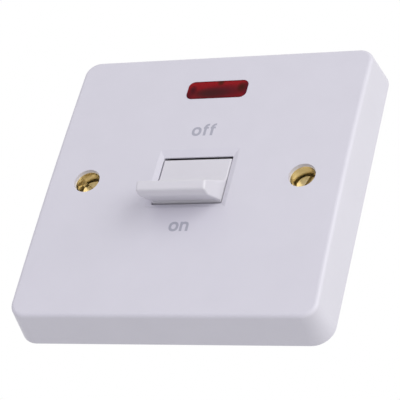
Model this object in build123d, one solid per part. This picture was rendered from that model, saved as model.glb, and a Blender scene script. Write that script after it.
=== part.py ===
from build123d import *
from math import atan2, cos, hypot, radians, sin, sqrt, tan
import os

# A double pole wall switch with an indicator window, as it sits on a wall.
# X points right, Y points into the wall, Z points up. Sizes are in millimetres.
# The origin is the middle of the plate's back rim, in the plane of the wall.
# The rocker is modelled in its ON position, with its nose down.

# Used throughout
embed = 0.4  # how far a moulded detail runs into the wall that it stands on
past = 1.0  # how far a cut runs past the surface that it opens
graze = 0.01  # the same where the cut must leave nothing but its own shape

# Front plate
plate_size = 86.0  # square, over the back rim
plate_corner = 5.5  # corner radius of the back rim
side_draft = 7.1  # degrees that each side leans in towards the front
edge_depth = 11.0  # wall to front face, at the top and bottom edges
crown = 1.0  # how far the middle of the face stands in front of those edges
front_round = 1.1  # radius round the front edge
plate_wall = 2.4

# Opening for the rocker
opening_width = 19.6
opening_height = 15.1
opening_z = -0.4  # middle of the opening
opening_corner = 0.4  # corner radius
mouth_depth = 0.5  # bevel round the opening, measured into the face
mouth_side = 1.5  # width of that bevel at the sides and below
mouth_top = 2.6  # its width above
lip = 0.9  # thickness of the plate at the opening's upper and lower edge
lip_relief = 1.2  # how far the wall is cut back behind that lip

# Rocker
pivot_depth = 3.8  # hinge axis behind the face
travel = 18.0  # degrees from ON to OFF
side_gap = 0.25  # rocker to opening, each side
top_gap = 0.95  # rocker's flat to the opening's top edge, when ON
bottom_gap = 0.65  # underside of the nose to the opening's bottom edge
flat_sink = 0.4  # the flat lies this far behind the face
nose_root_z = -0.6  # where the flat turns out into the nose
nose_reach = 10.5  # tip of the nose in front of the face
nose_tip_z = -8.55  # upper edge of the tip
tip_drop = 2.4  # the tip's own face, downwards
tip_back = 0.7  # and back towards the plate
heel_reach = 7.0  # the heel, where the underside turns up to the plate
heel_z = -10.75
nose_root_round = 2.5
nose_tip_round = 0.7
heel_round = 2.0
rocker_edge_round = 0.45  # along the sides of the flat and the nose
rocker_wall = 1.7
skirt_back = 2.0  # the skirts end this far behind the hinge axis
trunnion_radius = 1.25
trunnion_length = 1.9
hinge_fit = 0.05  # radial play of the trunnions

# Legs, plungers and springs
pole_x = 5.4  # each pole, from the middle
leg_radius = 2.6
leg_length = 6.3  # from the hinge axis
leg_root = 2.3  # how far the leg starts in front of the hinge axis
bore_radius = 1.75
bore_front = 1.0  # blind end of the leg's bore, in front of the hinge axis
plunger_fit = 0.08
plunger_rear = 2.6  # the plunger's open end, from the hinge axis
plunger_reach = 10.5  # its round tip, from the hinge axis
plunger_socket = 3.0  # depth of the spring's seat inside it
plunger_socket_radius = 1.2
spring_wire = 0.36
spring_turns = 6
spring_fit = 0.08

# Rocking contacts
bar_distance = 12.5  # hinge axis to the contact's own pivot
bar_width = 4.6
bar_thickness = 1.0
bar_half_length = 11.2
bar_bend_z = 2.0  # where each wing starts
shoulder_z = 2.1  # edge of the saddle
shoulder_width = 1.0
wing_root_z = 4.4
ridge_radius = 0.8  # the pivot ridge that the contact rocks on
ridge_fit = 0.05
tip_arm = 9.9  # contact tips, from the pivot
tip_radius = 1.6
tip_thickness = 0.8
tip_gap = 0.05  # left between closed tips

# Brass strips
strip_thickness = 1.0
strip_width = 5.0
load_strip_end = 6.6  # inner end of the fixed contact's strip

# Terminals
terminal_x = 8.2
terminal_width = 8.0
terminal_length = 8.0
terminal_depth = 8.0
terminal_round = 0.5
tunnel_radius = 2.2  # hole for the conductor
tunnel_wall = 1.2  # brass in front of that hole
terminal_thread_radius = 2.0
thread_fit = 0.05
screw_head_radius = 3.1
screw_head_height = 2.0
screw_lift = 0.4  # head clear of the block, as delivered
slot_width = 1.0
slot_depth = 1.0
screw_head_bevel = 0.4
screw_tip_chamfer = 0.4
terminal_slot_angle = 20.0  # of the first terminal screw, as tightened
terminal_slot_turn = 35.0  # each further one is turned on by this
earth_slot_angle = 60.0
earth_z = -5.0  # middle of the earth block
earth_play = 0.2  # that block in its side compartment, at each end

# Rear housing
base_width = 46.0
base_height = 44.0
base_corner = 3.0
base_wall = 1.7
base_front = -3.0  # where it butts on the plate's ring
base_floor = 1.8  # thickness behind the terminals
chamber_half_width = 12.8
barrier_thickness = 1.6
barrier_front = 0.6
block_fit = 0.1  # terminal blocks in their pockets
well_radius = 3.5  # access to each terminal screw
entry_size = 6.0  # square conductor entries
column_radius = 3.5
column_inset = 4.1
core_rib = 1.2  # ribs between the moulded hollows at the back
core_rows = 3
core_columns = 3
core_margin = 1.6

# Screws that hold the housing to the plate
base_screw_radius = 1.45
base_screw_length = 9.0
base_screw_fit = 0.05
base_hole_fit = 0.1  # the same screws in the housing
base_head_radius = 2.4
base_head_height = 1.8
base_head_fit = 0.25
base_seat = 3.5  # thickness of housing under each head
base_slot_angle = 15.0
base_slot_turn = 40.0

# Ring, cheeks and ribs behind the plate
ring_wall = 1.7
cheek_thickness = 2.2
cheek_half_height = 3.2
cheek_back = 1.2  # cheeks end this far behind the hinge axis
post_gap = 0.3
post_front = 0.65  # posts start this far behind the hinge axis

# Fixings
fixing_spacing = 60.3
fixing_hole_radius = 3.6
fixing_lip = 1.1  # plastic in front of the eyelet
eyelet_wall = 0.6
eyelet_bore_radius = 3.45
eyelet_seat_depth = 6.0  # seat behind the face
eyelet_floor = 1.2
fixing_boss_radius = 5.6
screw_radius = 1.75
screw_length = 25.0
screw_clearance_radius = 2.0
screw_neck_radius = 1.55  # plain shank under the head, as thick as the thread's pitch circle
screw_neck_past = 0.6  # the thread starts this far behind the earth strap
fixing_head_radius = 3.05
fixing_head_height = 1.9
left_slot_angle = 143.0
right_slot_angle = 71.0

# Indicator
window_width = 17.2
window_height = 6.0
window_radius = 1.8
window_z = 29.65
lens_fit = 0.05
lens_proud = 0.1
lens_flange = 1.0
lens_flange_margin = 1.3
lamp_radius = 2.0
lamp_length = 11.0
lamp_gap = 0.3  # lamp to the back of the window
lamp_end_round = 1.6
pocket_half_width = 11.6
pocket_half_height = 5.6
pocket_rib = 1.2
pocket_back = 5.6  # depth of the ribs behind the plate's inner face
lead_radius = 0.45
lead_x = 9.0
lead_bend = 1.5
lead_notch = 0.5  # room round a lead in the ring
resistor_radius = 1.0
resistor_length = 5.5
resistor_end_bevel = 0.3
resistor_top_z = 28.0
wire_sides = 8  # flats round a bent wire

# Earth strap
strap_thickness = 0.8
strap_ring_radius = 3.9
strap_arm_width = 3.0
strap_z = -2.0  # middle of the arm
strap_fit = 0.2  # room in the slots that it passes through

# Places worked out from the sizes above
half_plate = plate_size / 2
half_face = half_plate - edge_depth * tan(radians(side_draft))
crown_radius = (half_face**2 + crown**2) / (2 * crown)
face_y = -(edge_depth + crown)
crown_centre_y = face_y + crown_radius
inner_y = face_y + plate_wall
opening_top = opening_z + opening_height / 2
opening_bottom = opening_z - opening_height / 2
pivot_y = face_y + pivot_depth
pivot_z = opening_z
swing = travel / 2
rocker_half_width = opening_width / 2 - side_gap
plunger_radius = bore_radius - plunger_fit
bar_y = pivot_y + bar_distance
wing_rest_y = bar_y + bar_bend_z * sin(radians(swing))
strip_y = wing_rest_y + 2 * tip_thickness + tip_gap
block_y = strip_y + strip_thickness
tunnel_y = block_y + tunnel_wall + tunnel_radius
block_back = block_y + terminal_depth
terminal_outer_z = base_height / 2 - base_wall - block_fit
terminal_inner_z = terminal_outer_z - terminal_length
side_inner = chamber_half_width + base_wall
side_outer = base_width / 2 - base_wall
earth_x = -(side_inner + side_outer) / 2
earth_length = side_outer - side_inner - 2 * earth_play
strap_leg_x = earth_x - strap_thickness
base_back = block_back + screw_lift + screw_head_height + base_floor
fixing_x = fixing_spacing / 2
eyelet_radius = eyelet_bore_radius + eyelet_wall
eyelet_front = face_y + fixing_lip
eyelet_seat = face_y + eyelet_seat_depth
eyelet_back = eyelet_seat + eyelet_floor


def face_at(z):
    """Y of the crowned face at height z."""
    return crown_centre_y - sqrt(crown_radius**2 - z**2)


lamp_y = face_at(window_z) + plate_wall + lens_flange + lamp_gap + lamp_radius


def block(x0, x1, y0, y1, z0, z1):
    """A plain block between two corners."""
    size = Box(x1 - x0, y1 - y0, z1 - z0)
    return Pos((x0 + x1) / 2, (y0 + y1) / 2, (z0 + z1) / 2) * size


def rod_y(x, z, radius, y0, y1):
    """A round bar along Y."""
    return Pos(x, (y0 + y1) / 2, z) * Rot(X=90) * Cylinder(radius, y1 - y0)


def rod_x(y, z, radius, x0, x1):
    """A round bar along X."""
    return Pos((x0 + x1) / 2, y, z) * Rot(Y=90) * Cylinder(radius, x1 - x0)


def rod_z(x, y, radius, z0, z1):
    """A round bar along Z."""
    return Pos(x, y, (z0 + z1) / 2) * Cylinder(radius, z1 - z0)


def slab(width, height, radius, y0, y1, z=0.0, taper=0.0):
    """A rounded rectangle on the wall's plane at y1, extruded forwards to y0."""
    outline = Plane.XZ.offset(-y1) * Pos(0, z) * RectangleRounded(width, height, radius)
    return extrude(outline, y1 - y0, taper=taper)


def extruded_yz(outline, x0, x1):
    """An outline drawn in the YZ plane, extruded from x0 to x1."""
    return Pos(x0, 0, 0) * extrude(outline, x1 - x0, dir=(1, 0, 0))


def turned(shape, angle):
    """The shape turned about the rocker's hinge axis."""
    return Pos(0, pivot_y, pivot_z) * Rot(X=angle) * Pos(0, -pivot_y, -pivot_z) * shape


def tilted_bar(shape):
    """A rocking contact moved from its middle position to ON."""
    return Pos(0, bar_y, pivot_z) * Rot(X=-swing) * Pos(0, -bar_y, -pivot_z) * shape


def crown_solid(inset):
    """Everything behind the crowned face, set back by an inset."""
    return Pos(0, crown_centre_y, 0) * Rot(Y=90) * Cylinder(crown_radius - inset, 2 * plate_size)


def plate_block(inset, back):
    """The plate's outer form, each surface set in by an inset."""
    size = plate_size - 2 * inset
    depth = edge_depth + crown + past
    prism = slab(size, size, plate_corner - inset, -depth, back, taper=side_draft)
    return prism & crown_solid(inset)


def fixing_sides():
    """X of the left and the right fixing."""
    return (-fixing_x, fixing_x)


def column_places():
    """Centres of the four screw columns."""
    x = base_width / 2 - column_inset
    z = base_height / 2 - column_inset
    return [(sx * x, sz * z) for sx in (-1, 1) for sz in (-1, 1)]


def opening_cutter():
    """The rocker's opening with its bevelled mouth."""
    back = inner_y + cheek_back
    hole = slab(opening_width, opening_height, opening_corner, face_y - 2 * past, back, opening_z)
    outer_height = opening_height + mouth_side + mouth_top
    shift = (mouth_top - mouth_side) / 2
    front = Plane.XZ.offset(-face_y + graze)
    rear = Plane.XZ.offset(-face_y - mouth_depth)
    wide = front * Pos(0, opening_z + shift) * Rectangle(opening_width + 2 * mouth_side, outer_height)
    narrow = rear * Pos(0, opening_z) * Rectangle(opening_width, opening_height)
    half = opening_width / 2
    relief = block(
        -half, half, face_y + lip, inner_y + past, opening_bottom - lip_relief, opening_top + lip_relief,
    )
    return hole + loft([wide, narrow]) + relief


def cheeks():
    """Two lugs behind the face with open slots for the rocker's trunnions."""
    inner_x = opening_width / 2
    made = []
    for side in (-1, 1):
        near = side * inner_x
        far = side * (inner_x + cheek_thickness)
        low, high = sorted((near, far))
        lug = block(
            low, high, inner_y - embed, pivot_y + cheek_back,
            pivot_z - cheek_half_height, pivot_z + cheek_half_height,
        )
        seat = trunnion_radius + hinge_fit
        lug -= rod_x(pivot_y, pivot_z, seat, low - past, high + past)
        lug -= block(
            low - past, high + past, pivot_y, pivot_y + cheek_back + past, pivot_z - seat, pivot_z + seat,
        )
        made.append(lug)
    return made


def plate_ring():
    """The wall behind the face that the housing butts on, with notches for the leads."""
    radius = base_corner
    outer = slab(base_width, base_height, radius, inner_y - embed, base_front)
    inner_width = base_width - 2 * ring_wall
    inner_height = base_height - 2 * ring_wall
    inner = slab(inner_width, inner_height, radius - ring_wall, inner_y - past, base_front + past)
    ring = outer - inner
    room = lead_radius + lead_notch
    for x in (-lead_x, lead_x):
        ring -= block(
            x - room, x + room, lamp_y - room, base_front + past,
            base_height / 2 - 2 * ring_wall, base_height,
        )
    return ring


def lamp_pocket():
    """Three ribs that shield the lamp."""
    top = window_z + pocket_half_height
    back = face_at(window_z) + plate_wall + pocket_back
    front = face_at(window_z) + plate_wall - embed
    ribs = block(-pocket_half_width, pocket_half_width, front, back, top - pocket_rib, top)
    for side in (-1, 1):
        low, high = sorted((side * pocket_half_width, side * (pocket_half_width - pocket_rib)))
        ribs += block(low, high, front, back, window_z - pocket_half_height, top)
    return ribs


def make_front_plate():
    outer = plate_block(0, 0)
    rim = outer.edges().filter_by_position(Axis.Y, face_y - past, -edge_depth + embed)
    outer = fillet(rim, front_round)
    plate = outer - plate_block(plate_wall, 0) - block(
        -half_plate + plate_wall, half_plate - plate_wall, -graze, past,
        -half_plate + plate_wall, half_plate - plate_wall,
    )
    for cheek in cheeks():
        plate += cheek
    plate += plate_ring()
    plate += lamp_pocket()
    for x, z in column_places():
        plate += rod_y(x, z, column_radius, inner_y - embed, base_front)
    for x in fixing_sides():
        plate += rod_y(x, 0, fixing_boss_radius, inner_y - embed, 0)
    plate -= opening_cutter()
    plate -= slab(window_width, window_height, window_radius, face_y - past, inner_y + past, window_z)
    for x, z in column_places():
        depth = base_screw_length - base_seat
        plate -= rod_y(x, z, base_screw_radius + base_screw_fit, base_front - depth, base_front + past)
    for x in fixing_sides():
        plate -= rod_y(x, 0, fixing_hole_radius, face_y - past, past)
        plate -= rod_y(x, 0, eyelet_radius, eyelet_front, past)
    return plate - strap_arm(strap_fit)


def rocker_outline():
    """Side view of the rocker: flat, nose and skirts."""
    flat_y = face_y + flat_sink
    top_edge = (flat_y, opening_top - top_gap)
    root = (flat_y, nose_root_z)
    tip_top = (face_y - nose_reach, nose_tip_z)
    tip_low = (face_y - nose_reach + tip_back, nose_tip_z - tip_drop)
    heel = (face_y - heel_reach, heel_z)
    under_root = (face_y, opening_bottom + bottom_gap)
    skirt = hypot(pivot_y - top_edge[0], top_edge[1] - pivot_z)
    skirt_end_y = pivot_y + skirt_back
    skirt_z = sqrt(skirt**2 - skirt_back**2)
    mid_angle = (atan2(top_edge[1] - pivot_z, top_edge[0] - pivot_y) + atan2(skirt_z, skirt_back)) / 2
    skirt_mid = (pivot_y + skirt * cos(mid_angle), pivot_z + skirt * sin(mid_angle))
    skirt_low = (pivot_y, pivot_z - skirt)
    low_angle = -(radians(90) + atan2(skirt_z, skirt_back)) / 2
    low_mid = (pivot_y + skirt * cos(low_angle), pivot_z + skirt * sin(low_angle))
    edges = [
        Line(top_edge, root),
        Line(root, tip_top),
        Line(tip_top, tip_low),
        Line(tip_low, heel),
        Line(heel, under_root),
        Line(under_root, skirt_low),
        ThreePointArc(skirt_low, low_mid, (skirt_end_y, pivot_z - skirt_z)),
        Line((skirt_end_y, pivot_z - skirt_z), (skirt_end_y, pivot_z + skirt_z)),
        ThreePointArc((skirt_end_y, pivot_z + skirt_z), skirt_mid, top_edge),
    ]
    return Plane.YZ * make_face(edges)


def rocker_hollow():
    """The moulded hollow behind the flat and inside the nose, open at the back."""
    inner = offset(rocker_outline(), -rocker_wall)
    low = pivot_z - opening_height / 2 + bottom_gap + rocker_wall
    high = opening_top - top_gap - rocker_wall
    half = rocker_half_width - rocker_wall
    hollow = extruded_yz(inner, -half, half)
    return hollow + block(-half, half, pivot_y, pivot_y + skirt_back + past, low, high)


def make_rocker():
    body = extruded_yz(rocker_outline(), -rocker_half_width, rocker_half_width)
    crease = body.edges().filter_by(Axis.X).sort_by_distance((0, face_y + flat_sink, nose_root_z))[0]
    body = fillet(crease, nose_root_round)
    turn = body.edges().filter_by(Axis.X).sort_by_distance((0, face_y - heel_reach, heel_z))[0]
    body = fillet(turn, heel_round)
    tip_front = face_y - nose_reach
    tip = body.edges().filter_by_position(Axis.Y, tip_front - graze, tip_front + tip_back + graze)
    body = fillet(tip, nose_tip_round)
    outside = body.edges().filter_by_position(Axis.Y, tip_front - graze, face_y + flat_sink + graze)
    sides = [edge for edge in outside if abs(abs(edge.center().X) - rocker_half_width) < graze]
    body = fillet(sides, rocker_edge_round)
    body -= rocker_hollow()
    for side in (-1, 1):
        root = side * (rocker_half_width - embed)
        end = side * (rocker_half_width + trunnion_length)
        low, high = sorted((root, end))
        body += rod_x(pivot_y, pivot_z, trunnion_radius, low, high)
    for x in (-pole_x, pole_x):
        leg = rod_y(x, pivot_z, leg_radius, pivot_y - leg_root, pivot_y + leg_length)
        bore = rod_y(x, pivot_z, bore_radius, pivot_y - bore_front, pivot_y + leg_length + past)
        body += turned(leg, swing)
        body -= turned(bore, swing)
    return body


def make_plunger(x):
    tip_y = pivot_y + plunger_reach - plunger_radius
    plunger = rod_y(x, pivot_z, plunger_radius, pivot_y + plunger_rear, tip_y)
    plunger += Pos(x, tip_y, pivot_z) * Sphere(plunger_radius)
    socket_end = pivot_y + plunger_rear + plunger_socket
    plunger -= rod_y(x, pivot_z, plunger_socket_radius, pivot_y + plunger_rear - past, socket_end)
    return turned(plunger, swing)


def make_plunger_spring(x):
    start = pivot_y - bore_front + spring_wire / 2
    end = pivot_y + plunger_rear + plunger_socket - spring_wire / 2
    length = end - start
    coil = plunger_socket_radius - spring_fit - spring_wire / 2
    path = Helix(length / spring_turns, length, coil)
    section = Plane(origin=path @ 0, z_dir=path % 0) * RegularPolygon(spring_wire / 2, wire_sides)
    wire = sweep(section, path=path)
    return turned(Pos(x, start, pivot_z) * Rot(X=-90) * wire, swing)


def saddle():
    """Centre and radius of the hollow that the plunger's tip rolls in, from the two levers."""
    reach = plunger_reach - plunger_radius
    half = radians(swing)
    middle = reach - bar_distance
    end_y = reach * cos(2 * half) - bar_distance * cos(half)
    end_z = reach * sin(2 * half) - bar_distance * sin(half)
    rise = middle - end_y
    path_radius = (rise**2 + end_z**2) / (2 * rise)
    return middle - path_radius, path_radius + plunger_radius + tip_gap


def make_contact_bar(x):
    """A rocking contact, drawn in its middle position and turned to ON."""
    centre, radius = saddle()
    bend = tan(radians(swing))
    shoulder_y = centre + sqrt(radius**2 - shoulder_z**2)
    end_y = -(bar_half_length - bar_bend_z) * bend
    root_y = -(wing_root_z - bar_bend_z) * bend - bar_thickness
    half_side = [
        (0, ridge_radius + ridge_fit),
        (0, bar_bend_z),
        (end_y, bar_half_length),
        (end_y - bar_thickness, bar_half_length),
        (root_y, wing_root_z),
        (shoulder_y, shoulder_z + shoulder_width),
        (shoulder_y, shoulder_z),
    ]
    upper = [(bar_y + y, pivot_z + z) for y, z in half_side]
    lower = [(bar_y + y, pivot_z - z) for y, z in half_side]
    saddle_bottom = (bar_y + centre + radius, pivot_z)
    groove_top = (bar_y - ridge_radius - ridge_fit, pivot_z)
    edges = [
        Polyline(*upper),
        ThreePointArc(upper[-1], saddle_bottom, lower[-1]),
        Polyline(*lower[::-1]),
        ThreePointArc(lower[0], groove_top, upper[0]),
    ]
    outline = Plane.YZ * make_face(edges)
    return tilted_bar(extruded_yz(outline, x - bar_width / 2, x + bar_width / 2))


def make_moving_tip(x):
    return contact_tip(x, wing_rest_y, wing_rest_y + tip_thickness)


def make_fixed_tip(x):
    return contact_tip(x, strip_y - tip_thickness, strip_y)


def contact_tip(x, y0, y1):
    return rod_y(x, pivot_z + tip_arm, tip_radius, y0, y1)


def make_load_strip(x):
    return block(
        x - strip_width / 2, x + strip_width / 2, strip_y, block_y,
        pivot_z + load_strip_end, terminal_outer_z,
    )


def make_supply_strip(x):
    """An angled strip: its standing leg ends in the ridge that carries the rocking contact."""
    low, high = x - strip_width / 2, x + strip_width / 2
    strip = block(low, high, strip_y, block_y, -terminal_outer_z, pivot_z + ridge_radius)
    strip += block(low, high, bar_y, block_y, pivot_z - ridge_radius, pivot_z + ridge_radius)
    return strip + rod_x(bar_y, pivot_z, ridge_radius, low, high)


def make_terminal(x, side):
    """A brass block with a hole for the conductor and a threaded hole for its screw."""
    half = terminal_width / 2
    low, high = sorted((side * terminal_inner_z, side * terminal_outer_z))
    body = block(x - half, x + half, block_y, block_back, low, high)
    body = fillet(body.edges().filter_by(Axis.Z), terminal_round)
    body -= rod_z(x, tunnel_y, tunnel_radius, low - past, high + past)
    return body - rod_y(x, (low + high) / 2, terminal_thread_radius, tunnel_y, block_back + past)


def make_earth_terminal():
    """The same kind of block lying across, its conductor entering from the side."""
    half_x = earth_length / 2
    half_z = terminal_width / 2
    body = block(
        earth_x - half_x, earth_x + half_x, block_y, block_back, earth_z - half_z, earth_z + half_z,
    )
    body = fillet(body.edges().filter_by(Axis.X), terminal_round)
    body -= rod_x(tunnel_y, earth_z, tunnel_radius, earth_x - half_x - past, earth_x + half_x + past)
    return body - rod_y(earth_x, earth_z, terminal_thread_radius, tunnel_y, block_back + past)


def slotted_screw(x, z, seat, radius, length, head_radius, head_height, angle, into=-1):
    """A cheese-head screw whose head stands off its seat, shank towards the given side."""
    shank_end = seat + into * length
    head_end = seat - into * head_height
    shank = rod_y(x, z, radius, *sorted((seat, shank_end)))
    head = rod_y(x, z, head_radius, *sorted((seat, head_end)))
    rim = head.edges().filter_by(GeomType.CIRCLE).sort_by_distance((x, head_end, z))[0]
    head = chamfer(rim, screw_head_bevel)
    tip = shank.edges().filter_by(GeomType.CIRCLE).sort_by_distance((x, shank_end, z))[0]
    shank = chamfer(tip, screw_tip_chamfer)
    slot_end = head_end + into * slot_depth
    mouth = head_end - into * past
    low, high = sorted((slot_end, mouth))
    slot = Box(2 * (head_radius + past), high - low, slot_width)
    return shank + head - Pos(x, (low + high) / 2, z) * Rot(Y=-angle) * slot


def make_terminal_screws():
    middle = terminal_inner_z + terminal_length / 2
    made = []
    for index, (side, end) in enumerate([(-1, 1), (1, 1), (-1, -1), (1, -1)]):
        angle = terminal_slot_angle + terminal_slot_turn * index
        made.append(terminal_screw(side * terminal_x, end * middle, angle))
    return made


def terminal_screw(x, z, angle):
    seat = block_back + screw_lift
    length = seat - tunnel_y - tunnel_radius - thread_fit
    radius = terminal_thread_radius - thread_fit
    return slotted_screw(x, z, seat, radius, length, screw_head_radius, screw_head_height, angle)


def make_base():
    """The rear housing: one chamber for the mechanism, pockets for the terminals."""
    base = slab(base_width, base_height, base_corner, base_front, base_back)
    chamber_z = terminal_outer_z + block_fit
    chamber = block(
        -chamber_half_width, chamber_half_width, base_front - past, block_y, -chamber_z, chamber_z,
    )
    base -= chamber
    base -= side_compartments()
    base += centre_barrier()
    base += strip_shelves()
    base -= terminal_pockets()
    base -= moulded_hollows()
    base += trunnion_posts()
    for x, z in column_places():
        base -= rod_y(x, z, base_screw_radius + base_hole_fit, base_front - past, base_back + past)
        head = base_head_radius + base_head_fit
        base -= rod_y(x, z, head, base_front + base_seat, base_back + past)
    return base


def centre_barrier():
    """The wall between the two poles."""
    chamber_z = terminal_outer_z + block_fit
    half = barrier_thickness / 2
    return block(-half, half, barrier_front, block_y + embed, -chamber_z, chamber_z)


def strip_shelves():
    """Low ribs on either side of the strips that keep them in line."""
    half = strip_width / 2 + block_fit
    made = []
    for x in (-pole_x, pole_x):
        for side in (-1, 1):
            low, high = sorted((x + side * half, x + side * (half + core_rib)))
            made.append(block(low, high, strip_y, block_y + embed, -terminal_inner_z, terminal_inner_z))
    return made


def terminal_pockets():
    """Room for the blocks, wells for their screws and entries for the conductors."""
    middle = terminal_inner_z + terminal_length / 2
    half = terminal_width / 2 + block_fit
    reach = entry_size / 2
    cuts = []
    for x, side in [(sx * terminal_x, sz) for sx in (-1, 1) for sz in (-1, 1)]:
        low, high = sorted((
            side * (terminal_inner_z - block_fit), side * (terminal_outer_z + block_fit),
        ))
        cuts.append(block(x - half, x + half, block_y - graze, block_back + block_fit, low, high))
        cuts.append(rod_y(x, side * middle, well_radius, block_back, base_back + past))
        low, high = sorted((side * terminal_outer_z, side * (base_height / 2 + past)))
        cuts.append(block(x - reach, x + reach, tunnel_y - reach, tunnel_y + reach, low, high))
    cuts.append(rod_y(earth_x, earth_z, well_radius, block_back, base_back + past))
    cuts.append(block(
        -base_width / 2 - past, earth_x, tunnel_y - reach, tunnel_y + reach,
        earth_z - reach, earth_z + reach,
    ))
    return cuts


def side_compartments():
    """The hollows at either side; the left one has a bed for the earth block."""
    limit = base_height / 2 - base_wall - 2 * column_radius - base_wall
    floor = base_back - base_floor
    cuts = [block(side_inner, side_outer, base_front - past, floor, -limit, limit)]
    cuts.append(block(-side_outer, -side_inner, base_front - past, block_y, -limit, limit))
    half_z = terminal_width / 2 + block_fit
    cuts.append(block(
        -side_outer, -side_inner, block_y - graze, block_back + block_fit,
        earth_z - half_z, earth_z + half_z,
    ))
    top = earth_z + half_z + base_wall
    cuts.append(block(-side_outer, -side_inner, block_y - graze, floor, top, limit))
    return cuts


def moulded_hollows():
    """A grid of blind hollows that keeps the back of the housing to an even wall."""
    half_x = chamber_half_width - core_margin
    half_z = terminal_inner_z - core_margin - block_fit
    width = (2 * half_x - (core_columns - 1) * core_rib) / core_columns
    height = (2 * half_z - (core_rows - 1) * core_rib) / core_rows
    grid = GridLocations(width + core_rib, height + core_rib, core_columns, core_rows)
    cuts = []
    for place in grid:
        x, z = place.position.X, place.position.Y
        cuts.append(block(
            x - width / 2, x + width / 2, block_y + base_floor, base_back + past,
            z - height / 2, z + height / 2,
        ))
    return cuts


def trunnion_posts():
    """Two posts that close the plate's slots behind the rocker's trunnions."""
    seat = trunnion_radius + hinge_fit
    posts = []
    for side in (-1, 1):
        near = side * (opening_width / 2 + post_gap)
        far = side * (chamber_half_width + embed)
        low, high = sorted((near, far))
        half = trunnion_radius
        post = block(
            low, high, pivot_y + post_front, block_y + embed, pivot_z - half, pivot_z + half,
        )
        post -= rod_x(pivot_y, pivot_z, seat, low - past, high + past)
        posts.append(post)
    return posts


def strap_arm(room):
    """The flat arm of the earth strap, or with room the slot that it passes through."""
    half = strap_arm_width / 2 + room
    return block(
        -fixing_x, strap_leg_x, eyelet_back - room, eyelet_back + strap_thickness + room,
        strap_z - half, strap_z + half,
    )


def make_earth_strap():
    """A strip from behind the left eyelet into the housing and down to the earth block."""
    strap = rod_y(-fixing_x, 0, strap_ring_radius, eyelet_back, eyelet_back + strap_thickness)
    strap += strap_arm(0)
    strap += block(
        strap_leg_x - strap_thickness, strap_leg_x, eyelet_back, block_y,
        strap_z - strap_arm_width / 2, strap_z + strap_arm_width / 2,
    )
    hole_end = eyelet_back + strap_thickness + past
    return strap - rod_y(-fixing_x, 0, screw_clearance_radius, eyelet_back - past, hole_end)


def make_base_screws():
    seat = base_front + base_seat
    made = []
    for index, (x, z) in enumerate(column_places()):
        made.append(slotted_screw(
            x, z, seat, base_screw_radius, base_screw_length, base_head_radius,
            base_head_height, base_slot_angle + base_slot_turn * index,
        ))
    return made


def make_eyelet(x):
    """A brass liner with a seat for the fixing screw's head."""
    eyelet = rod_y(x, 0, eyelet_radius, eyelet_front, eyelet_back)
    eyelet -= rod_y(x, 0, eyelet_bore_radius, eyelet_front - past, eyelet_seat)
    return eyelet - rod_y(x, 0, screw_clearance_radius, eyelet_seat - past, eyelet_back + past)


def make_fixing_screws():
    """Long screws with a plain neck that reaches through the eyelet and the earth strap."""
    neck_end = eyelet_back + strap_thickness + screw_neck_past
    made = []
    for x, angle in zip(fixing_sides(), (left_slot_angle, right_slot_angle)):
        screw = slotted_screw(
            x, 0, eyelet_seat, screw_radius, screw_length, fixing_head_radius,
            fixing_head_height, angle, into=1,
        )
        groove = rod_y(x, 0, screw_radius + past, eyelet_seat, neck_end)
        made.append(screw - (groove - rod_y(x, 0, screw_neck_radius, eyelet_seat - past, neck_end + past)))
    return made


def make_neon_lens():
    """The window: flush in front, with a flange behind the plate."""
    inner = face_at(window_z) + plate_wall
    width = window_width - 2 * lens_fit
    height = window_height - 2 * lens_fit
    lens = slab(width, height, window_radius - lens_fit, face_y - past, inner + lens_flange, window_z)
    lens = lens & crown_solid(-lens_proud)
    margin = 2 * lens_flange_margin
    flange = slab(
        width + margin, height + margin, window_radius, inner - past, inner + lens_flange, window_z,
    )
    return lens + (flange & crown_solid(plate_wall))


def make_neon_lamp():
    half = lamp_length / 2
    lamp = rod_x(lamp_y, window_z, lamp_radius, -half, half)
    ends = lamp.edges().filter_by(GeomType.CIRCLE)
    return fillet(ends, lamp_end_round)


def lead_path(side, start_z=window_z):
    """Points of a lead from the lamp to the front of a load terminal."""
    middle = terminal_inner_z + terminal_length / 2
    return [
        (side * lead_x, lamp_y, start_z),
        (side * lead_x, lamp_y, middle),
        (side * lead_x, block_y, middle),
    ]


def make_lead(points):
    path = FilletPolyline(*points, radius=lead_bend)
    section = Plane(origin=path @ 0, z_dir=path % 0) * RegularPolygon(lead_radius, wire_sides)
    return sweep(section, path=path)


def make_right_lead():
    start = (lamp_length / 2, lamp_y, window_z)
    return make_lead([start] + lead_path(1))


def make_left_lead():
    """The lead below the resistor, and the short one above it."""
    start = (-lamp_length / 2, lamp_y, window_z)
    above = make_lead([start, (-lead_x, lamp_y, window_z), (-lead_x, lamp_y, resistor_top_z)])
    below = make_lead(lead_path(-1, resistor_top_z - resistor_length))
    return [above, below]


def make_resistor():
    body = rod_z(-lead_x, lamp_y, resistor_radius, resistor_top_z - resistor_length, resistor_top_z)
    return chamfer(body.edges().filter_by(GeomType.CIRCLE), resistor_end_bevel)


def write(name, shapes):
    """Write one node; a list becomes a group of separate solids."""
    if isinstance(shapes, (list, tuple)):
        shapes = Compound(children=list(shapes))
    export_step(shapes, os.path.join("parts", name + ".step"))


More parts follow.
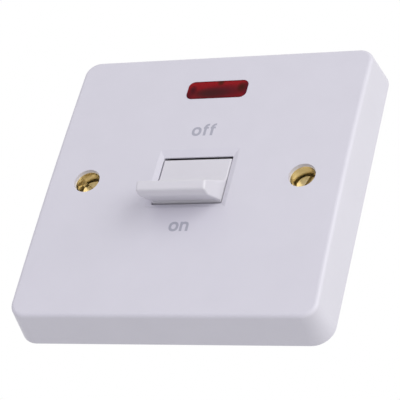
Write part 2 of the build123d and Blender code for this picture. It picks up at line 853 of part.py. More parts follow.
def main():
    os.makedirs("parts", exist_ok=True)
    write("front_plate", make_front_plate())
    write("rocker", make_rocker())
    write("base", make_base())
    for side, x in (("left", -pole_x), ("right", pole_x)):
        write("plunger_" + side, make_plunger(x))
        write("plunger_spring_" + side, make_plunger_spring(x))
        write("contact_bar_" + side, make_contact_bar(x))
        write("moving_tip_" + side, make_moving_tip(x))
        write("fixed_tip_" + side, make_fixed_tip(x))
        write("load_strip_" + side, make_load_strip(x))
        write("supply_strip_" + side, make_supply_strip(x))
    for side, x in (("left", -terminal_x), ("right", terminal_x)):
        write("load_terminal_" + side, make_terminal(x, 1))
        write("supply_terminal_" + side, make_terminal(x, -1))
    write("terminal_screws", make_terminal_screws())
    write("earth_terminal", make_earth_terminal())
    write("earth_screw", terminal_screw(earth_x, earth_z, earth_slot_angle))
    write("earth_strap", make_earth_strap())
    for side, x in zip(("left", "right"), fixing_sides()):
        write("fixing_eyelet_" + side, make_eyelet(x))
    write("fixing_screws", make_fixing_screws())
    write("base_screws", make_base_screws())
    write("neon_lens", make_neon_lens())
    write("neon_lamp", make_neon_lamp())
    write("neon_resistor", make_resistor())
    write("neon_lead_left", make_left_lead())
    write("neon_lead_right", make_right_lead())


main()
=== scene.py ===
from math import copysign, cos, radians, sin, tau

import bmesh
import bpy
from mathutils import Matrix, Vector
from mathutils.geometry import tessellate_polygon


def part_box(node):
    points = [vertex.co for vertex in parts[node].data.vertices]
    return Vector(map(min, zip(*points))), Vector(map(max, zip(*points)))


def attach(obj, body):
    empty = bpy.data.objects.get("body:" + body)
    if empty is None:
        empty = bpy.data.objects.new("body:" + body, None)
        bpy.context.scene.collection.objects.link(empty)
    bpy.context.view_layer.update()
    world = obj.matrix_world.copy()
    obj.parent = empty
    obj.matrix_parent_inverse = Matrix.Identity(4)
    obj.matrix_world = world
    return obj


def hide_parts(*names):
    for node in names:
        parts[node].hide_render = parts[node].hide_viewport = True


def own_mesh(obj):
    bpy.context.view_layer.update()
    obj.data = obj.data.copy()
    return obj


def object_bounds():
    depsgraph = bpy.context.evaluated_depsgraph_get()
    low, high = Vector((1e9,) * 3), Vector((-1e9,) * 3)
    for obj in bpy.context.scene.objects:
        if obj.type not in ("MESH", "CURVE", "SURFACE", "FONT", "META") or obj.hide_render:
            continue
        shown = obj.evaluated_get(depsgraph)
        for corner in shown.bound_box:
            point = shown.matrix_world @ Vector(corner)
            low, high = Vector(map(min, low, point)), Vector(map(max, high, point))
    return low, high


# The looks of a double pole wall switch: its finishes, printed words, fixing screws and coil springs.
# X points right, Y into the wall, Z up. Sizes are in millimetres, and MM turns them into metres.

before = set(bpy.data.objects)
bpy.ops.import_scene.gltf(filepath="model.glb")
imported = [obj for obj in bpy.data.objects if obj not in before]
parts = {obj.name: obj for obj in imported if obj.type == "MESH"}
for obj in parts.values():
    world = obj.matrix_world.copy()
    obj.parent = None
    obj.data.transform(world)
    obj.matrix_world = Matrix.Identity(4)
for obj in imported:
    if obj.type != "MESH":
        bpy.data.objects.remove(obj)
cad_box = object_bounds()
MM = 0.001

# Camera: in front, to the right and below, rolled a little
lens_length = 179.9
sensor_width = 36.0
camera_azimuth = 28.31
camera_elevation = -33.22
camera_roll = 15.19
camera_distance = 508.1
camera_aim = (3.93, -12.0, -7.1)
camera_near = 10.0
camera_far = 50000.0

# Room
floor_z = -620.0
floor_radius = 4000.0
floor_sides = 64
lamp_distance = 1100.0
key_direction = (0.74, -0.52, 0.2)  # from the switch towards the lamp at its right
key_size = 1000.0
key_watts = 7.7
key_colour = (1.0, 1.0, 1.0)
fill_direction = (-0.5, -0.8, -0.3)  # and towards the weaker, cooler one at its left
fill_size = 1400.0
fill_watts = 2.4
fill_colour = (0.74, 0.68, 1.0)
room_light = 0.565  # what the pale room itself gives every surface
white = (1.0, 1.0, 1.0, 1.0)

# Printed words
ink_height = 0.02  # the film stands this far off the plate, and runs as far into it
stroke = 0.71  # width of the letters' stems
thin_stroke = 0.58  # height of a crossbar
x_height = 2.84
ascender = 3.9
overshoot = 0.05  # how far round letters pass the height of flat ones
o_width = 2.67
round_squareness = 2.3  # of the o and of the n's arch; 2 would be a plain ellipse
o_steps = 42
n_width = 2.38
n_shoulder = 1.1  # height of the arch's round corners
n_shoulder_width = 1.2
n_notch = 0.12  # where the arch leaves the stem, below the x-height
n_gap = 0.36  # from the o to the n
f_width = 1.49
f_overhang = 0.2  # crossbar to the left of the stem
f_bar_short = 0.1  # crossbar short of the hook's end
f_hook = 1.0  # height of the hook
f_hook_end = 0.6  # its thickness where it ends
f_gap = 0.47  # from the o to the f
f_step = 1.96  # from one f to the next
off_left = -3.76
off_baseline = 13.94
on_left = -2.82
on_baseline = -16.61
curve_steps = 14

# Fixing screws, M3.5
head_height = 1.9
head_round = 0.5  # radius round the rim of the head's face
head_round_steps = 7
head_edge = 0.1  # bevel under the head
neck_radius = 1.55
neck_length = 2.6
thread_radius = 1.75
thread_pitch = 0.6
thread_depth = 0.33
thread_rows = 6  # rings of points in each turn of the thread
tip_taper = 0.8  # length of the narrower tip
tip_narrowing = 0.35
screw_sides = 40
slot_width = 1.0
slot_depth = 1.0
left_slot_angle = 143.0
right_slot_angle = 71.0
sharp_edge = 32.0  # degrees past which an edge isn't shaded round

# Coil springs in the rocker's legs
pole_x = 5.4

# Finishes
sides = ("left", "right")
urea_ior = 1.55
tool_mark_depth = 0.004  # of the fine lines and rings that tools leave in metal
line_stretch = 25.0  # how many times longer than wide those lines are
rolled_tarnish = 2.5  # width of the tarnish's patches on rolled metal
turned_tarnish = 1.8  # and on turned screws
base_screw_head_radius = 2.4  # from the edge of the housing's screws to their axes

# Indicator window
lens_flange_margin = 1.3  # the flange round it, which the plate hides
lens_ripple = 1.6
lens_ripple_depth = 0.012
lens_painted_light_bands = [  # painted light and shade of the hollow behind it, lightest high up: colour at shares of its height, from the bottom up
    (0.0, "#6A0A14"),
    (0.12, "#80121C"),
    (0.3, "#74101A"),
    (0.55, "#80121A"),
    (0.92, "#92161C"),
    (1.0, "#560A10"),
]
shade_spot_depth = 1000.0  # far more than the window's own, so that a painted shade spot has no front or back
lens_painted_shade_spots = [  # painted shade where the hollow behind is deep: middle from the window's own, half width, half height, colour
    (8.8, 0.4, 1.7, 3.8, "#560E20"),
    (-8.6, -2.2, 2.4, 1.8, "#560E18"),
    (1.8, -0.8, 7.4, 2.6, "#58161E"),
    (-1.8, -1.3, 6.2, 2.1, "#461A1C"),
    (-7.0, 0.0, 1.3, 1.8, "#4C0E18"),
    (6.9, 0.5, 1.6, 2.0, "#44160E"),
    (0.6, 2.4, 1.2, 1.3, "#4E1A0C"),
]

# Lamp and resistor
glass_wave = 2.2
glass_wave_depth = 0.01
lacquer = "#B99A6B"
lacquer_run = 0.8
lacquer_run_depth = 0.03
band_pitch = 1.05
band_start = 0.75  # pitches from the painted stretch's lower end to its first band
band_share = 0.5  # painted part of each pitch
band_colours = ["#3A2A6E", "#3A6E3A", "#C8A028", "#B89A3C"]
weave_width = 0.28
weave_depth = 0.05

# Ink and paper
ink_patch = 0.5
ink_patch_depth = 0.004
paper_fibre = 3.0
paper_fibre_depth = 0.05


def srgb(code):
    """A hex colour as linear red, green, blue and alpha."""
    channels = [int(code[i:i + 2], 16) / 255 for i in (1, 3, 5)]
    linear = [c / 12.92 if c <= 0.04045 else ((c + 0.055) / 1.055) ** 2.4 for c in channels]
    return (*linear, 1.0)


def per_mm(size):
    """Texture scale at which one cell of a pattern measures this many millimetres."""
    return 1 / (size * MM)


def add(tree, kind, inputs=None, **settings):
    """Adds one node with its settings; each input is a value, or the socket that feeds it."""
    made = tree.nodes.new("ShaderNode" + kind)
    for name, value in settings.items():
        setattr(made, name, value)
    for name, value in (inputs or {}).items():
        if isinstance(value, bpy.types.NodeSocket):
            tree.links.new(value, made.inputs[name])
        else:
            made.inputs[name].default_value = value
    return made


def new_material(name):
    """A material of that name, and its still empty tree of nodes."""
    material = bpy.data.materials.new(name)
    material.use_nodes = True
    material.node_tree.nodes.clear()
    return material, material.node_tree


def moulded(name, dark, light, roughness, ior, cloud_mm, grain_mm, grain_depth):
    """A moulding: faint clouds of colour from the flow, under the fine even skin that the tool leaves."""
    material, tree = new_material(name)
    place = add(tree, "TexCoord").outputs["Object"]
    cloud = add(tree, "TexNoise", {"Vector": place, "Scale": per_mm(cloud_mm), "Detail": 3.0})
    colour = add(tree, "Mix", {
        "Factor": cloud.outputs["Fac"], "A": srgb(dark), "B": srgb(light),
    }, data_type="RGBA")
    grain = add(tree, "TexNoise", {"Vector": place, "Scale": per_mm(grain_mm), "Detail": 2.0})
    skin = add(tree, "Bump", {"Height": grain.outputs["Fac"], "Distance": grain_depth * MM})
    shader = add(tree, "BsdfPrincipled", {
        "Base Color": colour.outputs["Result"], "Roughness": roughness, "IOR": ior,
        "Normal": skin.outputs["Normal"],
    })
    add(tree, "OutputMaterial", {"Surface": shader.outputs["BSDF"]})
    return material


def rolled_metal(name, dark, light, roughness, line_mm, along, line_depth=tool_mark_depth):
    """Rolled, drawn or spun metal: fine lines along the way it was worked, and a little tarnish."""
    material, tree = new_material(name)
    place = add(tree, "TexCoord").outputs["Object"]
    stretch = [1 / line_stretch if axis in along else 1.0 for axis in "XYZ"]
    drawn = add(tree, "Mapping", {"Vector": place, "Scale": stretch})
    lines = add(tree, "TexNoise", {
        "Vector": drawn.outputs["Vector"], "Scale": per_mm(line_mm), "Detail": 4.0,
    })
    tarnish = add(tree, "TexNoise", {"Vector": place, "Scale": per_mm(rolled_tarnish), "Detail": 3.0})
    colour = add(tree, "Mix", {
        "Factor": tarnish.outputs["Fac"], "A": srgb(dark), "B": srgb(light),
    }, data_type="RGBA")
    surface = add(tree, "Bump", {"Height": lines.outputs["Fac"], "Distance": line_depth * MM})
    shader = add(tree, "BsdfPrincipled", {
        "Base Color": colour.outputs["Result"], "Metallic": 1.0, "Roughness": roughness,
        "Normal": surface.outputs["Normal"],
    })
    add(tree, "OutputMaterial", {"Surface": shader.outputs["BSDF"]})
    return material


def turned_metal(name, dark, light, roughness, centre_x, centre_z, ring_mm, ring_depth=tool_mark_depth):
    """Metal turned on a lathe: fine rings round each screw's axis, left and right, above and below."""
    material, tree = new_material(name)
    place = add(tree, "TexCoord").outputs["Object"]
    axes = add(tree, "SeparateXYZ", {"Vector": place})
    one_side_x = add(tree, "Math", {0: axes.outputs["X"]}, operation="ABSOLUTE")
    one_side_z = add(tree, "Math", {0: axes.outputs["Z"]}, operation="ABSOLUTE")
    from_x = add(tree, "Math", {0: one_side_x.outputs["Value"], 1: centre_x * MM}, operation="SUBTRACT")
    from_z = add(tree, "Math", {0: one_side_z.outputs["Value"], 1: centre_z * MM}, operation="SUBTRACT")
    flat = add(tree, "CombineXYZ", {"X": from_x.outputs["Value"], "Z": from_z.outputs["Value"]})
    radius = add(tree, "VectorMath", {0: flat.outputs["Vector"]}, operation="LENGTH")
    turns = add(tree, "Math", {
        0: radius.outputs["Value"], 1: tau * per_mm(ring_mm),
    }, operation="MULTIPLY")
    rings = add(tree, "Math", {0: turns.outputs["Value"]}, operation="SINE")
    tarnish = add(tree, "TexNoise", {"Vector": place, "Scale": per_mm(turned_tarnish), "Detail": 3.0})
    colour = add(tree, "Mix", {
        "Factor": tarnish.outputs["Fac"], "A": srgb(dark), "B": srgb(light),
    }, data_type="RGBA")
    surface = add(tree, "Bump", {"Height": rings.outputs["Value"], "Distance": ring_depth * MM})
    shader = add(tree, "BsdfPrincipled", {
        "Base Color": colour.outputs["Result"], "Metallic": 1.0, "Roughness": roughness,
        "Normal": surface.outputs["Normal"],
    })
    add(tree, "OutputMaterial", {"Surface": shader.outputs["BSDF"]})
    return material


def lens_polycarbonate():
    """Tinted polycarbonate from a polished tool: deep red, with the light and shade of the hollow
    behind it painted in: bands up its height, lightest high up, and soft painted shade spots where the
    hollow is deep. It shows next to no shine, so its own is turned down."""
    material, tree = new_material("tinted_polycarbonate_moulded_polished")
    low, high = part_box("neon_lens")
    middle_z = (low.z + high.z) / 2
    half_z = (high.z - low.z) / 2 - lens_flange_margin * MM
    place = add(tree, "TexCoord").outputs["Object"]
    axes = add(tree, "SeparateXYZ", {"Vector": place})
    height = add(tree, "MapRange", {
        "Value": axes.outputs["Z"], "From Min": middle_z - half_z, "From Max": middle_z + half_z,
    })
    # painted light and shade of the hollow behind the window, in bands up its height
    bands = add(tree, "ValToRGB", {"Fac": height.outputs["Result"]})
    bands.color_ramp.elements.remove(bands.color_ramp.elements[1])
    bands.color_ramp.elements[0].color = srgb(lens_painted_light_bands[0][1])
    for position, code in lens_painted_light_bands[1:]:
        bands.color_ramp.elements.new(position).color = srgb(code)
    colour = bands.outputs["Color"]
    # painted shade spots, darkest at their middles, laid over the bands
    for x, z, half_width, half_height, code in lens_painted_shade_spots:
        spot = add(tree, "Mapping", {
            "Vector": place, "Location": (x * MM, 0, middle_z + z * MM),
            "Scale": (half_width * MM, shade_spot_depth * MM, half_height * MM),
        }, vector_type="TEXTURE")
        outward = add(tree, "VectorMath", {
            0: spot.outputs["Vector"], 1: spot.outputs["Vector"],
        }, operation="DOT_PRODUCT")
        mixed = add(tree, "Mix", {
            "Factor": outward.outputs["Value"], "A": srgb(code), "B": colour,
        }, data_type="RGBA")
        colour = mixed.outputs["Result"]
    ripple = add(tree, "TexNoise", {"Vector": place, "Scale": per_mm(lens_ripple), "Detail": 1.0})
    surface = add(tree, "Bump", {"Height": ripple.outputs["Fac"], "Distance": lens_ripple_depth * MM})
    shader = add(tree, "BsdfPrincipled", {
        "Base Color": colour, "Roughness": 0.08, "IOR": 1.585, "Transmission Weight": 0.06,
        "Specular IOR Level": 0.02, "Normal": surface.outputs["Normal"],
    })
    add(tree, "OutputMaterial", {"Surface": shader.outputs["BSDF"]})
    return material


def lamp_glass():
    """Soda glass drawn into a tube: clear and bright, with slow waves along it."""
    material, tree = new_material("soda_glass_drawn")
    place = add(tree, "TexCoord").outputs["Object"]
    waves = add(tree, "TexNoise", {"Vector": place, "Scale": per_mm(glass_wave), "Detail": 1.0})
    colour = add(tree, "Mix", {
        "Factor": waves.outputs["Fac"], "A": srgb("#E8E4DC"), "B": srgb("#F4F2EE"),
    }, data_type="RGBA")
    surface = add(tree, "Bump", {"Height": waves.outputs["Fac"], "Distance": glass_wave_depth * MM})
    shader = add(tree, "BsdfPrincipled", {
        "Base Color": colour.outputs["Result"], "Roughness": 0.03, "IOR": 1.52,
        "Transmission Weight": 0.9, "Normal": surface.outputs["Normal"],
    })
    add(tree, "OutputMaterial", {"Surface": shader.outputs["BSDF"]})
    return material


def banded_resistor():
    """Lacquered ceramic: a tan coat that ran a little as it dried, with painted bands round it."""
    material, tree = new_material("ceramic_lacquered_banded")
    place = add(tree, "TexCoord").outputs["Object"]
    axes = add(tree, "SeparateXYZ", {"Vector": place})
    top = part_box("neon_resistor")[1].z
    pitch = 1 / (len(band_colours) + 1)
    along = add(tree, "MapRange", {
        "Value": axes.outputs["Z"], "From Min": top - band_pitch * MM / pitch, "From Max": top,
    })
    paint = add(tree, "ValToRGB", {"Fac": along.outputs["Result"]})
    coat = srgb(lacquer)
    paint.color_ramp.interpolation = "CONSTANT"
    paint.color_ramp.elements.remove(paint.color_ramp.elements[1])
    paint.color_ramp.elements[0].color = coat
    for index, code in enumerate(band_colours):
        start = (index + band_start) * pitch
        paint.color_ramp.elements.new(start).color = srgb(code)
        paint.color_ramp.elements.new(start + band_share * pitch).color = coat
    runs = add(tree, "TexNoise", {"Vector": place, "Scale": per_mm(lacquer_run), "Detail": 2.0})
    surface = add(tree, "Bump", {"Height": runs.outputs["Fac"], "Distance": lacquer_run_depth * MM})
    shader = add(tree, "BsdfPrincipled", {
        "Base Color": paint.outputs["Color"], "Roughness": 0.35, "IOR": 1.5,
        "Normal": surface.outputs["Normal"],
    })
    add(tree, "OutputMaterial", {"Surface": shader.outputs["BSDF"]})
    return material


def braided_sleeve():
    """Woven glass-fibre sleeve: a fine cross weave, drawn coarser than the real one so that it shows."""
    material, tree = new_material("glass_fibre_woven_sleeve")
    place = add(tree, "TexCoord").outputs["Object"]
    weave = add(tree, "TexVoronoi", {"Vector": place, "Scale": per_mm(weave_width)})
    colour = add(tree, "Mix", {
        "Factor": weave.outputs["Distance"], "A": srgb("#CFCBBE"), "B": srgb("#E6E3D8"),
    }, data_type="RGBA")
    surface = add(tree, "Bump", {"Height": weave.outputs["Distance"], "Distance": weave_depth * MM})
    shader = add(tree, "BsdfPrincipled", {
        "Base Color": colour.outputs["Result"], "Roughness": 0.6, "IOR": 1.5,
        "Normal": surface.outputs["Normal"],
    })
    add(tree, "OutputMaterial", {"Surface": shader.outputs["BSDF"]})
    return material


def print_ink():
    """Pad-printed epoxy ink: a flat grey film, a little uneven, duller than the plate round it."""
    material, tree = new_material("epoxy_ink_pad_printed")
    place = add(tree, "TexCoord").outputs["Object"]
    film = add(tree, "TexNoise", {"Vector": place, "Scale": per_mm(ink_patch), "Detail": 3.0})
    colour = add(tree, "Mix", {
        "Factor": film.outputs["Fac"], "A": srgb("#A6A6B2"), "B": srgb("#AEAEBA"),
    }, data_type="RGBA")
    surface = add(tree, "Bump", {"Height": film.outputs["Fac"], "Distance": ink_patch_depth * MM})
    shader = add(tree, "BsdfPrincipled", {
        "Base Color": colour.outputs["Result"], "Roughness": 0.45, "IOR": 1.5,
        "Normal": surface.outputs["Normal"],
    })
    add(tree, "OutputMaterial", {"Surface": shader.outputs["BSDF"]})
    return material


def pale_floor():
    """Matt pressed paper: pale and plain, with the faint unevenness of its fibres."""
    material, tree = new_material("paper_matt_pressed")
    place = add(tree, "TexCoord").outputs["Object"]
    fibres = add(tree, "TexNoise", {"Vector": place, "Scale": per_mm(paper_fibre), "Detail": 4.0})
    colour = add(tree, "Mix", {
        "Factor": fibres.outputs["Fac"], "A": srgb("#F1F1F2"), "B": srgb("#F6F6F7"),
    }, data_type="RGBA")
    surface = add(tree, "Bump", {"Height": fibres.outputs["Fac"], "Distance": paper_fibre_depth * MM})
    shader = add(tree, "BsdfPrincipled", {
        "Base Color": colour.outputs["Result"], "Roughness": 0.9, "IOR": 1.45,
        "Normal": surface.outputs["Normal"],
    })
    add(tree, "OutputMaterial", {"Surface": shader.outputs["BSDF"]})
    return material


def centre_of(name):
    """Middle of a carried part, in millimetres."""
    low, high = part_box(name)
    return (low + high) / 2 / MM


def moulding_finishes():
    """The finishes of the moulded parts, each by its part's name."""
    urea = "urea_formaldehyde_moulded_"
    nylon = moulded(
        "nylon_moulded_natural", "#D8D3C2", "#E2DECF",
        roughness=0.42, ior=1.53, cloud_mm=2.0, grain_mm=0.2, grain_depth=0.004,
    )
    return {
        "front_plate": moulded(
            urea + "gloss", "#D3D1DA", "#D8D6DF",
            roughness=0.42, ior=urea_ior, cloud_mm=9.0, grain_mm=0.35, grain_depth=0.0015,
        ),
        "rocker": moulded(
            urea + "gloss_rocker", "#D5D3D9", "#DAD8DE",
            roughness=0.42, ior=urea_ior, cloud_mm=6.0, grain_mm=0.35, grain_depth=0.0015,
        ),
        "base": moulded(
            urea + "satin", "#CFCECB", "#D7D6D3",
            roughness=0.5, ior=urea_ior, cloud_mm=5.0, grain_mm=0.3, grain_depth=0.006,
        ),
        "plunger_left": nylon,
        "plunger_right": nylon,
    }


def worked_metal_finishes():
    """The finishes of strips, blocks, liners, contact tips and springs, each by its part's name."""
    strip = rolled_metal(
        "brass_rolled_strip", "#D2B878", "#E2CB90",
        roughness=0.26, line_mm=0.12, along="Z",
    )
    block = rolled_metal(
        "brass_extruded_bar", "#D0B574", "#E0C88C",
        roughness=0.3, line_mm=0.15, along="Z",
    )
    liner = rolled_metal(
        "brass_spun_eyelet", "#FFF0CC", "#FFF9E4",
        roughness=0.2, line_mm=0.12, along="XZ", line_depth=0.0005,
    )
    silver = rolled_metal(
        "silver_alloy_pressed", "#D5D4CF", "#E3E2DE",
        roughness=0.3, line_mm=0.2, along="Y",
    )
    wire = rolled_metal(
        "spring_steel_drawn_wire", "#8E9297", "#A4A7AB",
        roughness=0.32, line_mm=0.08, along="Y",
    )
    finishes = {"earth_terminal": block, "earth_strap": strip}
    for side in sides:
        finishes["plunger_spring_" + side] = wire
        finishes["contact_bar_" + side] = strip
        finishes["moving_tip_" + side] = silver
        finishes["fixed_tip_" + side] = silver
        finishes["load_strip_" + side] = strip
        finishes["supply_strip_" + side] = strip
        finishes["load_terminal_" + side] = block
        finishes["supply_terminal_" + side] = block
        finishes["fixing_eyelet_" + side] = liner
    return finishes


def screw_finishes():
    """The finishes of the screws behind the plate, whose rings run round each screw's own axis."""
    terminal = centre_of("load_terminal_right")
    earth = centre_of("earth_screw")
    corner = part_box("base_screws")[1] / MM
    return {
        "terminal_screws": turned_metal(
            "brass_turned_terminal_screw", "#D4BA7C", "#E4CE94",
            roughness=0.24, centre_x=terminal.x, centre_z=terminal.z, ring_mm=0.16,
        ),
        "earth_screw": turned_metal(
            "brass_turned_earth_screw", "#D4BA7C", "#E4CE94",
            roughness=0.24, centre_x=abs(earth.x), centre_z=abs(earth.z), ring_mm=0.16,
        ),
        "base_screws": turned_metal(
            "steel_turned_zinc_plated", "#B9BEC3", "#C9CCCF",
            roughness=0.3, centre_x=corner.x - base_screw_head_radius,
            centre_z=corner.z - base_screw_head_radius, ring_mm=0.16,
        ),
    }


def dress_frame():
    """Gives every carried part the finish of its own material."""
    sleeve = braided_sleeve()
    finishes = {
        **moulding_finishes(),
        **worked_metal_finishes(),
        **screw_finishes(),
        "neon_lens": lens_polycarbonate(),
        "neon_lamp": lamp_glass(),
        "neon_resistor": banded_resistor(),
        "neon_lead_left": sleeve,
        "neon_lead_right": sleeve,
    }
    for name, material in finishes.items():
        part = parts[name]
        part.data.materials.clear()
        part.data.materials.append(material)


def add_springs():
    """The coil springs as pieces of their own, copied from the carried ones, which ride on the rocker."""
    for side, x in zip(sides, (-pole_x, pole_x)):
        carried = parts["plunger_spring_" + side]
        spring = bpy.data.objects.new("coil_spring_" + side, carried.data.copy())
        spring.matrix_world = carried.matrix_world
        bpy.context.scene.collection.objects.link(spring)
        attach(spring, "rocker")
        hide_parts(carried.name)
        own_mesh(spring)


def new_piece(name, build, material, body):
    """A piece from the mesh just built, which rides on a body and takes a slot's finish."""
    mesh = bpy.data.meshes.new(name)
    bmesh.ops.recalc_face_normals(build, faces=build.faces)
    build.to_mesh(mesh)
    build.free()
    mesh.materials.append(material)
    piece = bpy.data.objects.new(name, mesh)
    bpy.context.scene.collection.objects.link(piece)
    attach(piece, body)
    return piece


def arc(centre, radii, start, end, squareness=2.0, steps=curve_steps):
    """Points on part of an ellipse, or of a squarer curve, between two angles in degrees."""
    points = []
    for i in range(steps + 1):
        angle = radians(start + (end - start) * i / steps)
        across = copysign(abs(cos(angle)) ** (2 / squareness), cos(angle))
        upward = copysign(abs(sin(angle)) ** (2 / squareness), sin(angle))
        points.append((centre[0] + radii[0] * across, centre[1] + radii[1] * upward))
    return points


def letter_o():
    """Outer and inner outline of the round letter."""
    centre = (o_width / 2, x_height / 2)
    outer = (o_width / 2, x_height / 2 + overshoot)
    inner = (outer[0] - stroke, outer[1] - stroke)
    return [arc(centre, radii, 0, 360, round_squareness, o_steps)[:-1] for radii in (outer, inner)]


def letter_n():
    """A stem, and an arch with a round shoulder that comes down as the second stem."""
    top = x_height + overshoot
    spring = x_height - n_shoulder
    inner_right = n_width - stroke
    inner_half = (inner_right - stroke) / 2
    inner_top = (inner_half, top - stroke - spring)
    shoulder = (n_shoulder_width, top - spring)
    outline = [(0, 0), (stroke, 0)]
    outline += arc((stroke + inner_half, spring), inner_top, 180, 0, round_squareness)
    outline += [(inner_right, 0), (n_width, 0)]
    outline += arc((n_width - n_shoulder_width, spring), shoulder, 0, 90, round_squareness)
    outline += [(stroke, x_height - n_notch), (stroke, x_height), (0, x_height)]
    return [outline]


def letter_f():
    """A stem with a hook to the right at its top, and a crossbar at the height of the o."""
    left = f_overhang
    right = left + stroke
    bar_low = x_height - thin_stroke
    bar_right = f_width - f_bar_short
    hook_centre = (f_width, ascender - f_hook)
    outline = [(left, 0), (right, 0), (right, bar_low), (bar_right, bar_low)]
    outline += [(bar_right, x_height), (right, x_height)]
    outline += arc(hook_centre, (f_width - right, f_hook - f_hook_end), 180, 90)
    outline += arc(hook_centre, (f_width - left, f_hook), 90, 180)
    outline += [(left, x_height), (0, x_height), (0, bar_low), (left, bar_low)]
    return [outline]


def plate_surface(x, z):
    """Y of the plate's face behind a letter's point, in metres."""
    start = Vector((x * MM, cad_box[0][1], z * MM))
    hit, place, _, _ = parts["front_plate"].ray_cast(start, Vector((0, 1, 0)))
    if not hit:
        raise ValueError(f"no plate behind the letter point {x}, {z}")
    return place.y


def add_letter(build, loops):
    """A thin closed slab that follows the crowned face, over one outline or between two."""
    flat = [[Vector((x, z, 0)) for x, z in loop] for loop in loops]
    triangles = tessellate_polygon(flat)
    film = []
    for side in (-1, 1):
        level = []
        for loop in loops:
            points = [(x * MM, plate_surface(x, z) + side * ink_height * MM, z * MM) for x, z in loop]
            level.append([build.verts.new(point) for point in points])
        film.append(level)
        corners = sum(level, [])
        for triangle in triangles:
            build.faces.new([corners[i] for i in triangle])
    for near, far in zip(*film):
        for i in range(len(near)):
            build.faces.new((near[i - 1], near[i], far[i], far[i - 1]))


def print_word(name, letters, baseline, ink):
    """One printed word; each letter comes with the place of its left edge."""
    build = bmesh.new()
    for outline_of, left in letters:
        add_letter(build, [[(left + x, baseline + z) for x, z in loop] for loop in outline_of()])
    new_piece(name, build, ink, "housing")


def add_words():
    """The words for the two positions, over and under the rocker."""
    ink = print_ink()
    first_f = off_left + o_width + f_gap
    off = [(letter_o, off_left), (letter_f, first_f), (letter_f, first_f + f_step)]
    on = [(letter_o, on_left), (letter_n, on_left + o_width + n_gap)]
    print_word("word_off", off, off_baseline, ink)
    print_word("word_on", on, on_baseline, ink)


def screw_rings(head_y, end_y, head_radius):
    """Rings of points from the head to the tip, each point as its distance from the axis and its Y."""
    seat = head_y + head_height
    neck_end = seat + neck_length
    outline = []
    for across, upward in arc((0, 0), (head_round, head_round), 90, 0, steps=head_round_steps):
        outline.append((head_radius - head_round + across, head_y + head_round - upward))
    outline += [(head_radius, seat - head_edge), (head_radius - head_edge, seat)]
    outline += [(neck_radius, seat), (neck_radius, neck_end)]
    rings = [[point] * screw_sides for point in outline]
    rise = thread_pitch / thread_rows
    rows = int((end_y - neck_end) / rise) + 1
    for row in range(1, rows + 1):
        y = min(neck_end + row * rise, end_y)
        grown = min(1.0, row / thread_rows)
        narrowed = max(0.0, 1 - (end_y - y) / tip_taper)
        ring = []
        for side in range(screw_sides):
            phase = (row / thread_rows + side / screw_sides) % 1.0
            flank = thread_radius - thread_depth * (1 - abs(2 * phase - 1))
            radius = neck_radius + (flank - neck_radius) * grown - tip_narrowing * narrowed
            ring.append((radius, y))
        rings.append(ring)
    return rings


def fixing_screw(name, x, slot_angle, brass):
    """An M3.5 cheese-head screw with a rolled right-hand thread and a driver slot."""
    low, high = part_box("fixing_screws")
    head_y = low.y / MM
    head_radius = (high.z - low.z) / 2 / MM
    build = bmesh.new()
    circles = []
    for ring in screw_rings(head_y, high.y / MM, head_radius):
        circle = []
        for side, (radius, y) in enumerate(ring):
            turn = tau * side / screw_sides
            point = ((x + radius * cos(turn)) * MM, y * MM, radius * sin(turn) * MM)
            circle.append(build.verts.new(point))
        circles.append(circle)
    for near, far in zip(circles, circles[1:]):
        for i in range(screw_sides):
            build.faces.new((near[i - 1], near[i], far[i], far[i - 1]))
    build.faces.new(circles[0])
    build.faces.new(circles[-1])
    piece = new_piece(name, build, brass, "housing")
    cut_slot(piece, x, head_y, head_radius, slot_angle)
    for polygon in piece.data.polygons:
        polygon.use_smooth = True
    piece.data.set_sharp_from_angle(angle=radians(sharp_edge))
    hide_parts("fixing_screws")


def cut_slot(piece, x, head_y, head_radius, slot_angle):
    """Cuts the driver slot across the head, with a block that is centred on the head's face."""
    block_length = 3 * head_radius
    block_height = 2 * slot_depth
    build = bmesh.new()
    bmesh.ops.create_cube(build, size=1.0)
    cutter = bpy.data.meshes.new("slot_cutter")
    build.to_mesh(cutter)
    build.free()
    tool = bpy.data.objects.new("slot_cutter", cutter)
    bpy.context.scene.collection.objects.link(tool)
    tool.matrix_world = (
        Matrix.Translation(Vector((x, head_y, 0)) * MM)
        @ Matrix.Rotation(-radians(slot_angle), 4, "Y")
        @ Matrix.Diagonal((block_length * MM, block_height * MM, slot_width * MM, 1))
    )
    cut = piece.modifiers.new("slot", "BOOLEAN")
    cut.operation = "DIFFERENCE"
    cut.solver = "EXACT"
    cut.object = tool
    bpy.context.view_layer.update()
    slotted = piece.evaluated_get(bpy.context.evaluated_depsgraph_get())
    mesh = bpy.data.meshes.new_from_object(slotted)
    piece.modifiers.clear()
    piece.data = mesh
    bpy.data.objects.remove(tool)


def add_fixing_screws():
    """The two fixing screws, as far apart as the plain ones that they replace."""
    low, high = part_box("fixing_screws")
    screw_x = (high.x - low.x - high.z + low.z) / 2 / MM
    brass = turned_metal(
        "brass_turned_fixing_screw", "#D0C094", "#DCCCA2",
        roughness=0.5, centre_x=screw_x, centre_z=0.0, ring_mm=0.2, ring_depth=0.002,
    )
    fixing_screw("fixing_screw_left", -screw_x, left_slot_angle, brass)
    fixing_screw("fixing_screw_right", screw_x, right_slot_angle, brass)


def aim_matrix(place, back, roll=0.0):
    """Stands at a place and looks against the given direction, rolled by an angle."""
    back = back.normalized()
    level = Vector((0, 0, 1)).cross(back).normalized()
    upright = back.cross(level)
    right = level * cos(roll) + upright * sin(roll)
    up = upright * cos(roll) - level * sin(roll)
    turn = Matrix((right, up, back)).transposed().to_4x4()
    return Matrix.Translation(place) @ turn


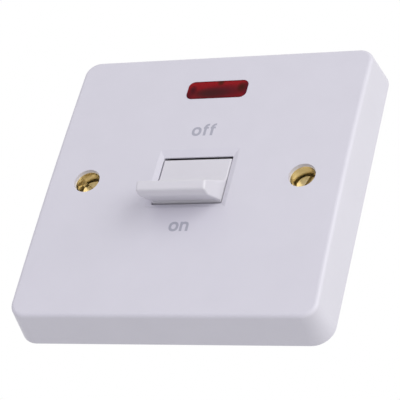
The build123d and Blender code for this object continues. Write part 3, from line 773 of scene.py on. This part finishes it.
def add_camera():
    """The camera that sees the switch as the photograph does."""
    azimuth = radians(camera_azimuth)
    elevation = radians(camera_elevation)
    back = Vector((sin(azimuth) * cos(elevation), -cos(azimuth) * cos(elevation), sin(elevation)))
    data = bpy.data.cameras.new("camera")
    data.lens = lens_length
    data.sensor_width = sensor_width
    data.clip_start = camera_near * MM
    data.clip_end = camera_far * MM
    camera = bpy.data.objects.new("camera", data)
    place = Vector(camera_aim) * MM + back * camera_distance * MM
    camera.matrix_world = aim_matrix(place, back, radians(camera_roll))
    bpy.context.scene.collection.objects.link(camera)
    bpy.context.scene.camera = camera


def add_lamp(name, direction, size, watts, colour):
    """A large soft lamp that faces the switch."""
    data = bpy.data.lights.new(name, "AREA")
    data.size = size * MM
    data.energy = watts
    data.color = colour
    lamp = bpy.data.objects.new(name, data)
    towards = Vector(direction).normalized()
    lamp.matrix_world = aim_matrix(towards * lamp_distance * MM, towards)
    bpy.context.scene.collection.objects.link(lamp)


def add_floor():
    """A plain round floor, far enough below to leave the switch on white."""
    build = bmesh.new()
    edge = []
    for i in range(floor_sides):
        turn = tau * i / floor_sides
        point = Vector((floor_radius * cos(turn), floor_radius * sin(turn), floor_z))
        edge.append(build.verts.new(point * MM))
    build.faces.new(edge)
    mesh = bpy.data.meshes.new("floor")
    build.to_mesh(mesh)
    build.free()
    mesh.materials.append(pale_floor())
    floor = bpy.data.objects.new("floor", mesh)
    bpy.context.scene.collection.objects.link(floor)


def add_room():
    """A pale room that lights all surfaces evenly, white to the camera, to gloss and through glass."""
    world = bpy.data.worlds.new("room")
    world.use_nodes = True
    tree = world.node_tree
    tree.nodes.clear()
    path = add(tree, "LightPath")
    seen = add(tree, "Math", {
        0: path.outputs["Is Camera Ray"], 1: path.outputs["Is Glossy Ray"],
    }, operation="MAXIMUM")
    clear = add(tree, "Math", {
        0: seen.outputs["Value"], 1: path.outputs["Is Transmission Ray"],
    }, operation="MAXIMUM")
    strength = add(tree, "MapRange", {
        "Value": clear.outputs["Value"], "To Min": room_light, "To Max": 1.0,
    })
    backdrop = add(tree, "Background", {"Color": white, "Strength": strength.outputs["Result"]})
    add(tree, "OutputWorld", {"Surface": backdrop.outputs["Background"]})
    bpy.context.scene.world = world


bpy.context.scene.view_settings.view_transform = "Standard"
add_camera()
add_lamp("key_softbox", key_direction, key_size, key_watts, key_colour)
add_lamp("fill_softbox", fill_direction, fill_size, fill_watts, fill_colour)
add_floor()
add_room()
dress_frame()
add_springs()
add_words()
add_fixing_screws()
